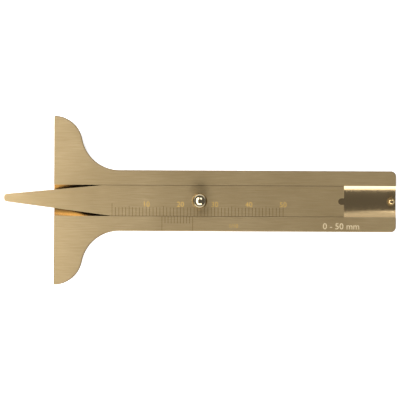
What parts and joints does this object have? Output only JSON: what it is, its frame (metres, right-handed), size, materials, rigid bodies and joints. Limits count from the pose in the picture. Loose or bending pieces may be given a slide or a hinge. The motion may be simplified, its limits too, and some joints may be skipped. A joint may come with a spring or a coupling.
{
  "type": "tire tread depth gauge",
  "caption": "Flat brass depth gauge: wide rounded head, rail with a captive graduated slide, tapered probe tip, thumb knob and stop pin.",
  "frame": {"origin": "middle of the lower edge of the measuring face, on the back face", "axes": "+X from the measuring face along the rail, away from the probe tip; +Z out of the graduated face"},
  "size_m": [0.1146, 0.0494, 0.0088],
  "materials": {
    "body_brass": "brushed",
    "slide_brass": "brushed",
    "knob_nickel": "polished nickel plate",
    "pin_brass": "turned and polished",
    "spring_bronze": "rolled phosphor bronze"
  },
  "bodies": {
    "body": {"body": "body_brass", "stop_pin": "pin_brass"},
    "slide": {"slide": "slide_brass", "thumb_knob": "knob_nickel", "brake_spring": "spring_bronze"}
  },
  "joints": [
    {"name": "depth_slide", "type": "slide", "parent": "body", "child": "slide", "axis": [-1, 0, 0], "range_m": [-0.0146, 0.0354]}
  ]
}
